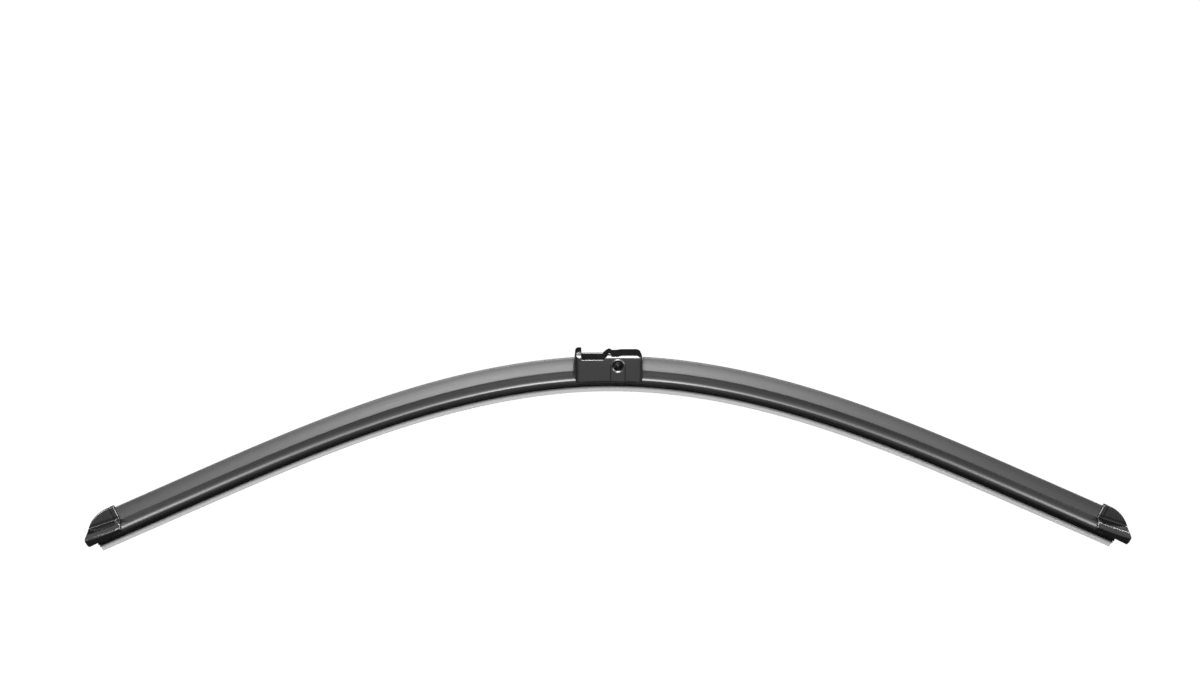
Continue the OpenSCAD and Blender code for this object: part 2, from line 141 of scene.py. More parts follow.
def bend(a, b, c, count):
    """Points on the curve that leaves a towards b and arrives at c, without its two ends, unrounded."""
    t = (np.arange(1, count) / count)[:, None]
    a, b, c = (np.asarray(v, float)[None] for v in (a, b, c))
    curve = (1 - t) ** 2 * a + 2 * t * (1 - t) * b + t**2 * c
    return [[*p, 0.0] for p in curve]


def mirrored(corners):
    """The same corners on the other side of the middle plane, in the opposite order."""
    return [[-p[0], *p[1:]] for p in corners[::-1]]


square = [[0, 0, 0.2], [1, 0, 0.2], [1, 1, 0.2], [0, 1, 0.2]]
print("a unit square with rounded corners takes", len(rounded(square)), "points")


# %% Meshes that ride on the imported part
def new_piece(name, verts, faces, nodes, sharp=35.0, straight=None):
    """Makes a mesh object from arrays, smooth up to the sharp angle, that stands for CAD nodes.

    The attribute "straight" keeps each point's place (s, y, n) before the bow, for a grain that
    follows the blade.
    """
    mesh = bpy.data.meshes.new(name)
    mesh.from_pydata(verts, [], faces)
    mesh.validate()
    if straight is not None:
        layer = mesh.attributes.new("straight", "FLOAT_VECTOR", "POINT")
        layer.data.foreach_set("vector", (straight * MM).astype(np.float32).ravel())
    mesh.polygons.foreach_set("use_smooth", np.ones(len(mesh.polygons), bool))
    mesh.set_sharp_from_angle(angle=math.radians(sharp))
    piece = bpy.data.objects.new(name, mesh)
    bpy.context.scene.collection.objects.link(piece)
    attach(piece, "root")
    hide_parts(*nodes)
    print(f"{name}: {len(mesh.vertices)} points, {len(mesh.polygons)} faces")
    return piece


def extruded(name, outline, near, far, node):
    """Point j of the outline on ring i lies at the length near + (far - near) * share i.

    Near and far may differ from point to point, for an end that is cut to a curve.
    """
    count = len(outline)
    rings = round(float(np.mean(far) - np.mean(near)) / RING_GAP) + 1
    share = np.linspace(0.0, 1.0, rings)[:, None]
    s = (near + (far - near) * share + np.zeros(count)).ravel()
    y, n = np.tile(outline, (rings, 1)).T
    i, j = np.meshgrid(np.arange(rings - 1), np.arange(count), indexing="ij")
    k = (j + 1) % count
    quads = np.stack([(i + 1) * count + j, (i + 1) * count + k, i * count + k, i * count + j], -1)
    first = list(range(count))
    last = [(rings - 1) * count + v for v in first[::-1]]
    faces = quads.reshape(-1, 4).tolist() + [first, last]
    return new_piece(name, place(s, y, n), faces, [node], straight=np.stack([s, y, n], -1))


RING_GAP = 2.5
print("rings of an extrusion lie", RING_GAP, "mm apart")

# %% [markdown]
# ## The rubber
#
# The squeegee is one extruded rubber section: a thin wiping lip that widens to
# a shoulder, a narrow neck on which the lip flips over at each stroke, a cover
# strip under the rails, a web between them and a small head above. Its lower
# part is dusted with graphite and is painted paler than the strip above, partly
# for that coat and partly as a painted reflection of the white surroundings. A
# curve with a bevel profile could sweep the same section. The mesh is built
# point by point instead, so that each point also keeps its place along the
# straight rubber, and the grain follows the blade.

# %% Squeegee
LIP_T, SHOULDER_W, SHOULDER_H, NECK_T = 0.7, 4.5, 3.4, 0.9
COVER_W, COVER_T, BODY_W, WEB_W, HEAD_W, HEAD_H = 6.2, 0.95, 5.4, 1.8, 4.6, 0.8
RAIL_H, RAIL_T, SEAT_GAP = 7.6, 0.8, 0.05
RUBBER_SHIFT = -1.0

GROOVE_LOW, GROOVE_HIGH = RAIL_H - SEAT_GAP, RAIL_H + RAIL_T + SEAT_GAP
HEAD_TOP = GROOVE_HIGH + HEAD_H
NECK_LOW = SHOULDER_H + 0.55
COVER_LOW = NECK_LOW + 0.55
LIP_BEND = [LIP_T * 0.6, SHOULDER_H * 0.35]
SHOULDER_LOW = [SHOULDER_W / 2 - 0.15, SHOULDER_H - 0.3]

rubber_side = (
    [[LIP_T / 2, 0.0, 0.06], [*LIP_BEND, 0.0]]
    + bend(LIP_BEND, [LIP_T * 0.8, SHOULDER_H * 0.8], SHOULDER_LOW, 8)
    + [
        [*SHOULDER_LOW, 0.1],
        [SHOULDER_W / 2, SHOULDER_H, 0.1],
        [SHOULDER_W / 2 - 0.3, SHOULDER_H + 0.25, 0.1],
        [NECK_T / 2, NECK_LOW, 0.15],
        [NECK_T / 2, COVER_LOW - 0.2, 0.15],
        [COVER_W / 2 - 0.25, COVER_LOW, 0.12],
        [COVER_W / 2, COVER_LOW + 0.35, 0.12],
        [COVER_W / 2, COVER_LOW + 0.65, 0.3],
        [BODY_W / 2, COVER_LOW + COVER_T, 0.1],
        [BODY_W / 2, GROOVE_LOW, 0.15],
        [WEB_W / 2, GROOVE_LOW, 0.05],
        [WEB_W / 2, GROOVE_HIGH, 0.05],
        [HEAD_W / 2 - 0.1, GROOVE_HIGH + 0.05, 0.05],
        [HEAD_W / 2, GROOVE_HIGH + HEAD_H * 0.45, 0.1],
        [HEAD_W / 2 - 0.55, HEAD_TOP, 0.2],
    ]
)
squeegee = extruded(
    "wiping_rubber", rounded(rubber_side + mirrored(rubber_side)),
    RUBBER_SHIFT - HALF_LEN, RUBBER_SHIFT + HALF_LEN, "squeegee",
)

# %% [markdown]
# ## The spoiler
#
# The spoiler is a soft plastic extrusion, one length on each side of the
# housing. Hooks at its foot slide over the rails, and a hollow leaves room for
# the rubber's head. The front has a wide rounding, a crowned shelf behind it,
# a crease, and then a thin fin on which the wind pushes the blade down. The
# crease stays sharp and the rounding wide, because they decide where the plastic
# looks dark and where it shines. The same sweep as the rubber's carries the
# section along the bow.

# %% Section of the spoiler
RAIL_W, WEB_GAP, FOOT_WALL, FOOT_LEAN, HOOK_T, HOOK_LEN = 3.8, 0.1, 0.75, 0.7, 0.6, 0.9
SPOILER_H, FOOT_H, EDGE_Y, EDGE_T, FIN_RISE = 19.4, 10.1, 2.65, 0.8, 2.5
FOOT_R, SHELF_R = 0.45, 0.9

GROOVE_OUT = WEB_W / 2 + WEB_GAP + RAIL_W + SEAT_GAP
FOOT_LOW_OUT = GROOVE_OUT + FOOT_WALL
FOOT_OUT = FOOT_LOW_OUT + FOOT_LEAN
HOOK_IN = GROOVE_OUT - HOOK_LEN
HOOK_LOW = GROOVE_LOW - HOOK_T
ROOF_LOW = HEAD_TOP + 0.25
SHELF_END = [FOOT_OUT - SHELF_R * 0.83, FOOT_H]
FIN_LOW = [EDGE_Y - EDGE_T / 2 - 0.15, FOOT_H + FIN_RISE]
HOLLOW_TOP = [FIN_LOW[0] + 1.0, FOOT_H + FIN_RISE - 0.6]
FIN_HOLLOW = 0.12
EDGE_MID = SPOILER_H - EDGE_T / 2

foot_side = [
    [HOOK_IN, HOOK_LOW, 0.08],
    [FOOT_LOW_OUT, HOOK_LOW, FOOT_R],
    [FOOT_OUT, FOOT_H, SHELF_R],
]
FRONT_H, FRONT_IN = 8.7, 0.3
SHELF_FRONT, SHELF_TOP = [-2.7, 11.0], [FIN_LOW[0] - 0.1, 11.7]
front_low = [-FOOT_OUT + FRONT_IN, FRONT_H]
front_side = (
    [[*SHELF_TOP, 0.0], [*SHELF_FRONT, 0.6]]
    + bend(SHELF_FRONT, [-FOOT_OUT + 0.9, 10.4], front_low, 16)
    + [[*front_low, 0.2], [-FOOT_LOW_OUT, HOOK_LOW, FOOT_R], [-HOOK_IN, HOOK_LOW, 0.08]]
)
edge_rear, edge_front = EDGE_Y + EDGE_T / 2, EDGE_Y - EDGE_T / 2
rear_mid = [EDGE_Y + 0.9, (SPOILER_H + FOOT_H) / 2 - 1]
fin_mid = [edge_front + 2 * FIN_HOLLOW, (EDGE_MID + FIN_LOW[1]) / 2]
spoiler_outer = (
    foot_side
    + bend(SHELF_END, rear_mid, [edge_rear, EDGE_MID], 14)
    + [[edge_rear, SPOILER_H, EDGE_T / 2], [edge_front, SPOILER_H, EDGE_T / 2]]
    + bend([edge_front, EDGE_MID], fin_mid, FIN_LOW, 12)
    + [[*FIN_LOW, 0.0]]
    + front_side
)
groove_side = [
    [GROOVE_OUT - HOOK_LEN, GROOVE_LOW, 0.05],
    [GROOVE_OUT, GROOVE_LOW, 0.05],
    [GROOVE_OUT, GROOVE_HIGH, 0.05],
    [HOOK_IN - 0.1, GROOVE_HIGH, 0.05],
    [HOOK_IN - 0.3, ROOF_LOW - 0.3, 0.05],
]
ROOF_SIDE = [-HOOK_IN + 0.8, ROOF_LOW]
spoiler_inner = (
    [[-p[0], *p[1:]] for p in groove_side]
    + [[*ROOF_SIDE, 0.1]]
    + bend(ROOF_SIDE, [EDGE_Y - 1.2, ROOF_LOW], HOLLOW_TOP, 8)
    + [[*HOLLOW_TOP, 0.1]]
    + bend(HOLLOW_TOP, [EDGE_Y + 1.2, FOOT_H + 0.2], groove_side[4][:2], 6)
    + groove_side[::-1]
)
spoiler_outline = rounded(spoiler_outer + spoiler_inner)
print("the spoiler's section is", np.ptp(spoiler_outline, axis=0).round(2), "mm wide and high")

# %% [markdown]
# The spoiler's two halves butt against the housing. A plain cut would leave a
# wedge of light beside the housing's rounded corners, so each point of the
# section gets its own length, at which it meets the housing's end outline. The
# bow tilts the section, so that length is found by a few corrections and not by
# one formula.

# %% Left and right spoiler
CAP_OVER, CAP_GRIP, SPOILER_GAP = 15.6, 6.0, 0.02
HOUSING_LEN, HOUSING_W, HOUSING_SHIFT = 37.6, 13.5, -1.2
LEFT_R, RIGHT_R = 3.3, 2.2
CUT_STEPS = 8
CAP_MOUTH = HALF_LEN - CAP_OVER
SPOILER_END = CAP_MOUTH + CAP_GRIP


def cut_along(end_x, end_n, outline, inward, corner_r):
    """Lengths s at which the outline's points reach an end curve: each step adds what is still missing.

    Past the corner's start the curve draws in by r - sqrt(r^2 - y^2), as the housing's corner does.
    """
    y, n = outline.T
    past = np.clip(np.abs(y) - (HOUSING_W / 2 - corner_r), 0.0, 0.9 * corner_r)
    corner = inward * (corner_r - np.sqrt(corner_r**2 - past**2))
    s = np.full(len(outline), float(end_x[0]))
    for _ in range(CUT_STEPS):
        at = place(s, y, n) / MM + np.array([BORE_X, 0.0, BORE_H])
        s = s + np.interp(at[:, 2], end_n, end_x) + corner - at[:, 0]
    return s


# The housing's two ends, seen from the side: how far each has drawn in at each height
h_half = HOUSING_LEN / 2
LEFT_N, LEFT_IN = np.array([0.0, 14.8, 18.0, 22.8]), np.array([0.0, 0.0, 0.5, 1.0])
RIGHT_N, RIGHT_IN = np.array([0.0, 17.5, 18.8, 20.1]), np.array([0.0, 0.0, 0.1, 0.7])
left_end = HOUSING_SHIFT - h_half - SPOILER_GAP + LEFT_IN
right_end = HOUSING_SHIFT + h_half + SPOILER_GAP - RIGHT_IN
left_cut = cut_along(left_end, LEFT_N, spoiler_outline, 1, LEFT_R)
right_cut = cut_along(right_end, RIGHT_N, spoiler_outline, -1, RIGHT_R)
spoilers = [
    extruded("spoiler_left", spoiler_outline, -SPOILER_END, left_cut, "left_spoiler"),
    extruded("spoiler_right", spoiler_outline, right_cut, SPOILER_END, "right_spoiler"),
]

# %% [markdown]
# ## Moulded parts from distances
#
# The housing and the caps are injection mouldings: blocks that pass into each
# other with soft edges and fillets everywhere. Bevelled booleans are one way,
# but they break where several roundings meet. Here each part is a distance
# function: at every point of a fine grid, how far is the nearest surface,
# counted negative inside. Joining, cutting and rounding are then one line of
# arithmetic each, and the surface is drawn where the distance passes zero.


# %% Distance arithmetic
def both(a, b, r):
    """Common part of a and b, with its edge a quarter circle of radius r where both surfaces are near."""
    reach = np.hypot(np.maximum(a + r, 0.0), np.maximum(b + r, 0.0))
    return np.minimum(-r, np.maximum(a, b)) + reach


def either(a, b, r):
    """Sum of a and b, with the inner corner between them filled to radius r."""
    return -both(-a, -b, r)


def without(a, b, r):
    """What is left of a outside b, with a rounded rim."""
    return both(a, -b, r)


def outline_distance(u, v, outline):
    """Distance of each point (u, v) to the nearest edge of a closed outline, negative inside it."""
    a = np.asarray(outline, float)[:, :2]
    b = np.roll(a, -1, axis=0)
    best = np.full(u.shape, 1e9)
    inside = np.zeros(u.shape, bool)
    for (ax, ay), (bx, by) in zip(a, b):
        ex, ey = bx - ax, by - ay
        t = np.clip(((u - ax) * ex + (v - ay) * ey) / (ex * ex + ey * ey), 0.0, 1.0)
        best = np.minimum(best, np.hypot(u - ax - t * ex, v - ay - t * ey))
        spans = (ay > v) != (by > v)
        crosses = spans & (u < ax + ex * (v - ay) / (ey if ey else 1.0))
        inside ^= crosses
    return np.where(inside, -best, best)


def box_distance(u, v, half_u, half_v, r):
    """Distance to a rectangle about the origin whose corners have radius r."""
    du, dv = np.abs(u) - half_u + r, np.abs(v) - half_v + r
    return np.hypot(np.maximum(du, 0), np.maximum(dv, 0)) + np.minimum(np.maximum(du, dv), 0) - r


corner = both(np.array([0.0]), np.array([0.0]), 1.0)
print("a corner rounded to radius 1 leaves its old tip", corner.round(3), "outside")


# %% The surface in a grid of distances
def grid(low, high, step):
    """Three axes of evenly spaced values over the box, each shaped to broadcast along its own direction."""
    axes = [np.arange(a - step, b + 2 * step, step) for a, b in zip(low, high)]
    return axes, (axes[0][:, None, None], axes[1][None, :, None], axes[2][None, None, :])


def surface(field, axes):
    """One vertex per crossed cell and one quad per crossed grid edge.

    The vertex is the mean of the places where the zero surface crosses the cell's twelve edges. The
    quad joins the four cells round an edge whose two ends lie on different sides.
    """
    shape = np.array(field.shape)
    total = np.zeros((*(shape - 1), 3))
    hits = np.zeros(shape - 1)
    quads = []
    for axis in range(3):
        low = [slice(None)] * 3
        high = [slice(None)] * 3
        low[axis], high[axis] = slice(None, -1), slice(1, None)
        f0, f1 = field[tuple(low)], field[tuple(high)]
        cross = (f0 < 0) != (f1 < 0)
        at = np.stack(np.nonzero(cross), -1)
        share = f0[cross] / (f0[cross] - f1[cross])
        spot = at.astype(float)
        spot[:, axis] += share
        p, q = (axis + 1) % 3, (axis + 2) % 3
        ring = []
        for dp, dq in ((0, 0), (-1, 0), (-1, -1), (0, -1)):
            cell = at.copy()
            cell[:, p] += dp
            cell[:, q] += dq
            ring.append(cell)
            good = np.all((cell >= 0) & (cell < shape - 1), axis=1)
            key = tuple(cell[good].T)
            np.add.at(total, key, spot[good])
            np.add.at(hits, key, 1.0)
        ring = np.stack(ring, 1)
        flip = ~(f0[cross] < 0)
        ring[flip] = ring[flip][:, ::-1]
        quads.append(ring)
    used = hits > 0
    number = np.full(hits.shape, -1)
    number[used] = np.arange(used.sum())
    place_in_grid = total[used] / hits[used][:, None]
    start = np.array([axis[0] for axis in axes])
    step = axes[0][1] - axes[0][0]
    quads = np.concatenate(quads)
    faces = number[tuple(np.moveaxis(quads, -1, 0))]
    return start + place_in_grid * step, faces


# %% [markdown]
# ## The housing
#
# The housing is one moulding over the crimped clamp: an open well on the left
# where the arm's hook swings in, a stop wall at its outer end, a ramp and a
# deck with a shallow finger notch on the right, and a blind bore with a raised
# pad for the arm's side pin. Its skirt follows the bow. It could be carved from
# a box with many cuts, but its outlines seen from the side, from above and from
# the end are all that a toolmaker would draw, and their common part is the body.

# %% Sizes of the housing
DECK_H, RIM_H, STOP_RISE, SKIRT_H = 22.5, 20.1, 1.3, 7.7
WALL, FLOOR_T, EDGE_R, WINDOW_LEN, POST_L = 1.5, 1.2, 2.3, 11.7, 4.3
BORE_R, BORE_LEN, BORE_SHIFT = 2.5, 9.0, 5.2
SLEEVE_WALL, PAD_W, PAD_T, SINK_W, CLAMP_T = 1.4, 7.9, 0.35, 0.75, 0.8
SOFT_EDGE, SKIRT_R, INNER_R, RIM_R, SINK_R, ROOM_EDGE_R = 0.45, 1.4, 0.3, 0.1, 0.12, 0.15
ARCH_RISE, PAD_IN, PAD_R = 0.25, 0.2, 0.2
PEAK_RISE, NOTCH_D, DECK_T, RAMP_T = 0.6, 0.65, WALL + 1.0, 0.4
HOUSING_STEP = 0.21
PART_GAP = 0.1
BELOW, ABOVE = -10.0, 40.0

post_x = POST_L - h_half
window_x1 = post_x + WINDOW_LEN
stop_h = DECK_H + STOP_RISE
flange_top = GROOVE_HIGH + CLAMP_T
claw_out = GROOVE_OUT + CLAMP_T
bridge_half = GROOVE_OUT - SEAT_GAP - 0.9
shell_low = flange_top + SEAT_GAP
floor_low = HEAD_TOP + 0.15 + CLAMP_T + PART_GAP
floor_top = floor_low + FLOOR_T
print("the window reaches from", round(post_x, 2), "to", round(window_x1, 2), "mm from the housing's middle")


# %% Outlines of the housing, seen from the side
def steps_from(x, n, moves):
    """Corners given as moves from one place, with the size of each corner's rounding."""
    return [[x + dx, n + dn, r] for dx, dn, r in moves]


right_shoulder = steps_from(
    h_half, DECK_H, [[0, -5, 1], [-0.1, -3.7, 1], [-0.7, -2.4, 1], [-1.55, -0.9, 0.8], [-3.0, 0, 1]]
)
notch = steps_from(
    window_x1, DECK_H, [[9.8, 0, 0.9], [8, -NOTCH_D, 0.9], [4.8, -NOTCH_D, 0.25], [4.3, 0.3, 0.2]]
)
peak = steps_from(window_x1, DECK_H, [[3.7, PEAK_RISE, 0.3], [2.9, PEAK_RISE, 0.3]])
post = steps_from(post_x, stop_h, [[0, 0, 0.6], [-2.4, 0, 0.5], [-3.3, -1, 0.6], [-3.8, -5.8, 1.5]])
side_outline = rounded(
    [[-h_half, BELOW, 0.0], [h_half, BELOW, 0.0]]
    + right_shoulder + notch + peak
    + [[window_x1, RIM_H, 0.2], [post_x, RIM_H, 0.2]]
    + post + [[-h_half, stop_h - 9, 1.5]]
)
ramp_in = window_x1 + RAMP_T
hollow_x1 = h_half - DECK_T - RAMP_T
hollow_outline = [
    [post_x, 0.0], [hollow_x1, 0.0], [hollow_x1, DECK_H - DECK_T], [ramp_in + 1, DECK_H - DECK_T],
    [ramp_in - 1, RIM_H + 0.5], [ramp_in - 1, ABOVE], [post_x, ABOVE],
]
print("the side outline has", len(side_outline), "points")


# %% The bow under the housing
def bow_height(x, n):
    """Height of the line n above the lip's edge at the place x, measured from the housing's middle."""
    s = np.linspace(-30.0, 30.0, 241)
    line = place(s, 0.0 * s, n + 0.0 * s) / MM + np.array([BORE_X, 0.0, BORE_H])
    return np.interp(x + HOUSING_SHIFT, line[:, 0], line[:, 2])


skirt_ends = bow_height(np.array([-h_half, h_half]), SKIRT_H)
print("the skirt's edge ends at the heights", skirt_ends.round(2), "mm")


# %% The housing's distance: walls, deck and hollow
def moulding(x, y, n, skirt):
    """Side outline, plan and end view in common, above the skirt's edge, less the hollow.

    The plan has a corner radius for each end. The end view is a wall on each side up to the
    shoulder, and a quarter circle from there to the deck.
    """
    side = outline_distance(x + 0 * n, n + 0 * x, side_outline)
    plan = box_distance(x, y, h_half, HOUSING_W / 2, np.where(x < 0, LEFT_R, RIGHT_R))
    shoulder = DECK_H - EDGE_R + ARCH_RISE
    beyond = np.abs(y) - HOUSING_W / 2 + EDGE_R
    arch = np.hypot(np.maximum(beyond, 0), np.maximum(n - shoulder, 0)) - EDGE_R
    arch = np.where(n > shoulder, np.where(beyond > 0, arch, -1.0), -9.0)
    body = both(side, np.maximum(plan, arch), SOFT_EDGE)
    body = both(body, both(skirt, np.abs(x) - h_half + 0 * n, SKIRT_R), INNER_R)
    hollow = outline_distance(x + 0 * n, n + 0 * x, hollow_outline)
    inner = box_distance(x, y, h_half - WALL, HOUSING_W / 2 - WALL, LEFT_R / 2)
    hollow = both(both(hollow, inner, INNER_R), floor_top - n + 0 * x, INNER_R)
    return without(body, hollow, RIM_R)


# %% The housing's distance: bore and clamp
def with_bore(body, x, y, n, skirt):
    """The body with a pad and a sleeve joined on, less a cylinder and a cone that opens at its mouth."""
    r = np.hypot(x - BORE_SHIFT, n - BORE_H)
    mouth = -HOUSING_W / 2 - PAD_T
    pad = np.where(n > BORE_H, r - PAD_W / 2, np.abs(x - BORE_SHIFT) - PAD_W / 2)
    pad = both(pad, skirt, INNER_R)
    pad = both(pad, np.abs(y + HOUSING_W / 2 - PAD_IN) - PAD_IN - PAD_T, PAD_R)
    sleeve_y = np.abs(y - mouth - BORE_LEN / 2 - 1) - BORE_LEN / 2 - 0.5
    sleeve = both(r - BORE_R - SLEEVE_WALL, sleeve_y, INNER_R)
    body = either(either(body, pad, RIM_R), sleeve, INNER_R)
    bore = both(r - BORE_R, y - mouth - BORE_LEN, RIM_R)
    sink = np.maximum(r - BORE_R - (mouth + SINK_W - y), y - mouth - SINK_W)
    return without(without(body, bore, RIM_R), sink, SINK_R)


def clamp_room(x, y, n):
    """Two slots open below, joined: a wide one for the claws, and a narrow, higher one for the bridge."""
    claws = np.maximum(np.abs(y) - claw_out - PART_GAP, n - bow_height(x, shell_low))
    bridge = np.maximum(np.abs(y) - bridge_half - 2 * PART_GAP, n - bow_height(x, floor_low))
    return np.minimum(claws, bridge)


def housing_field(x, y, n):
    """The moulding with its bore, less the clamp's room."""
    skirt = bow_height(x, SKIRT_H) - n
    body = with_bore(moulding(x, y, n, skirt), x, y, n, skirt)
    return without(body, clamp_room(x, y, n), ROOM_EDGE_R)


# %% Housing
axes, (gx, gy, gn) = grid(
    [-h_half, -HOUSING_W / 2 - PAD_T, SKIRT_H - 1.0], [h_half, HOUSING_W / 2, stop_h], HOUSING_STEP
)
points, faces = surface(housing_field(gx, gy, gn), axes)
points = (points + np.array([HOUSING_SHIFT - BORE_X, 0.0, -BORE_H])) * MM
housing = new_piece(
    "housing", points, faces.tolist(), ["connector_housing"], sharp=60.0
)

# %% [markdown]
# ## The end caps
#
# A cap is moulded round the spoiler's end, with a section of its own: three
# ridges run along its front and fan out towards the tip, a collar stands proud
# at its mouth, and its nose falls in a quarter ellipse to a blunt toe. A swept
# section could not fan out or end in a nose. In distance terms the cap is the
# common part of a section across the blade and an outline seen from the side,
# and the section is read with a small rise that grows towards the tip. The
# right cap's mouth sits one millimetre further out than the left one's.

# %% Sizes and outlines of the cap
CAP_LEN, CAP_WALL, CAP_GAP, NOSE_START, NOSE_H, CROWN = 21.5, 0.8, 0.12, 3.5, 13.3, 0.3
COLLAR_W, COLLAR_T, LIFT, TOE_H, TOE_RISE, TIP_DROP = 2.9, 0.3, 0.35, 4.2, 1.8, 0.7
COLLAR_R, NOSE_R, MOUTH_R, ROOM_R = 0.15, 0.4, 0.5, 0.1
RIDGE_RISE, FAN_LOW, FAN_DEPTH = 0.09, 1.0, 3.0
CAP_STEP = 0.17
MOUTH_SHIFTS = {"left": 0.0, "right": 1.0}
INSIDE = -5.0

cap_out = CAP_GAP + CAP_WALL
cap_low = HOOK_LOW + LIFT
cap_top = SPOILER_H + cap_out + CROWN
toe_top = cap_low + TOE_H
core_inset, core_low = CAP_WALL + 0.45, cap_low + 1.6
core_end = CAP_OVER + abs(RUBBER_SHIFT) + 0.3
flank_out = cap_out - COLLAR_T
ridge_y = FOOT_OUT + flank_out


def nose(inset, low):
    """Quarter ellipse from the height low up to the end of the straight top, moved in by inset."""
    mid_n, a, b = cap_top - NOSE_H, CAP_LEN - NOSE_START - inset, NOSE_H - inset
    angle = np.linspace(math.asin((low - mid_n) / b), math.pi / 2, 33)
    return np.stack([NOSE_START + a * np.cos(angle), mid_n + b * np.sin(angle), 0 * angle], -1).tolist()


cap_side = rounded(
    [[INSIDE, cap_low + 0.2, 0.0], [CAP_LEN - 0.5, cap_low - TIP_DROP, 0.4], [CAP_LEN, cap_low + 1.0, 0.5],
     [CAP_LEN, toe_top, 0.8]] + nose(0.0, toe_top + TOE_RISE) + [[INSIDE, cap_top, 0.0]]
)
core_side = [[INSIDE, INSIDE], [core_end, INSIDE], [core_end, core_low]]
core_side += [p[:2] for p in nose(core_inset, core_low)] + [[INSIDE, cap_top - core_inset]]
print("the cap is", CAP_LEN, "mm long and", round(cap_top - cap_low, 2), "mm high at its mouth")

# %% Section of the cap
foot_y = FOOT_LOW_OUT + flank_out
rear_low, rear_high = [ridge_y - 0.4, FOOT_H + 0.3], [EDGE_Y + EDGE_T / 2 + flank_out, SPOILER_H]
cap_section = rounded(
    [[foot_y, cap_low - 3, 0.0], [foot_y, cap_low, 0.2], [ridge_y, FOOT_H, 0.5]]
    + bend(rear_low, [EDGE_Y + 0.9 + flank_out, (SPOILER_H + FOOT_H) / 2 - 0.7], rear_high, 14)
    + [[*rear_high, 0.3], [EDGE_Y + EDGE_T, cap_top, 0.4], [EDGE_Y - EDGE_T, cap_top, 0.4],
       [EDGE_Y - EDGE_T / 2 - flank_out, cap_top - 0.3, 0.4], [EDGE_Y - 1.35, FOOT_H + 4.1, 0.6],
       [EDGE_Y - 1.15, FOOT_H + 2.8, 0.8], [2.6 - ridge_y, FOOT_H + 1.35, 0.35],
       [0.05 - ridge_y, FOOT_H - 0.35, 0.6], [-foot_y, cap_low, 0.2], [-foot_y, cap_low - 3, 0.0]]
)
print("the cap's section has", len(cap_section), "points")

# %% The cap's distance
spoiler_skin = rounded(spoiler_outer, 3)


def cap_field(x, y, n):
    """Section and side outline in common, with the collar, less the room for spoiler, rails and rubber.

    The section is read at the height n less a rise that grows with the way from the collar.
    """
    fanned = np.clip((n - cap_low - FAN_LOW) / FAN_DEPTH, 0.0, 1.0)
    rise = RIDGE_RISE * np.maximum(x - COLLAR_W, 0.0) * fanned
    section = outline_distance(y + 0 * n + 0 * x, n - rise + 0 * y, cap_section)
    side = outline_distance(x + 0 * n, n + 0 * x, cap_side)
    collar = both(section - COLLAR_T, x - COLLAR_W, COLLAR_R)
    shell = both(np.minimum(section, collar), side, NOSE_R)
    shell = both(shell, -x, MOUTH_R)
    skin = outline_distance(y + 0 * n, n + 0 * y, spoiler_skin) - CAP_GAP
    shell = without(shell, np.maximum(skin, x - CAP_GRIP - 0.3), ROOM_R)
    core = outline_distance(x + 0 * n, n + 0 * x, core_side)
    return without(shell, np.maximum(skin, core), ROOM_R)


# %% End caps
axes, (gx, gy, gn) = grid(
    [0.0, -ridge_y - COLLAR_T, cap_low - TIP_DROP], [CAP_LEN, ridge_y + COLLAR_T, cap_top], CAP_STEP
)
cap_points, cap_faces = surface(cap_field(gx, gy, gn), axes)
end_caps = []
for side_name, side in (("left", -1), ("right", 1)):
    start = MOUTH_SHIFTS[side_name]
    along = start + cap_points[:, 0] * (1.0 - start / CAP_LEN)
    at = place(side * (CAP_MOUTH + along), cap_points[:, 1], cap_points[:, 2])
    order = cap_faces if side > 0 else cap_faces[:, ::-1]
    end_caps.append(
        new_piece(
            f"end_cap_{side_name}", at, order.tolist(), [f"{side_name}_end_cap"], sharp=60.0
        )
    )

# %% [markdown]
# ## Finishes
#
# Everything on the blade is dark and nearly colourless, so the finishes differ
# in gloss and in fine relief, not in hue. An image could carry the grain, but it
# would stretch round the bow and the noses, so each one is a Principled shader
# with noise that drives its colour, its gloss and a bump, at the scale of the
# real grain. On the extrusions the noise is drawn out along the straight piece.

# %% Finish builder
GRAIN_SCALE, GRAIN_DETAIL, TINT, ROUGH_SWING, BUMP_STRENGTH = 900.0, 3.0, 0.15, 0.04, 0.6
LOW_NOISE, HIGH_NOISE = 0.3, 0.7
EVEN = (1.0, 1.0, 1.0)


def grey(value):
    """A colour with the same red, green and blue."""
    return (value, value, value)


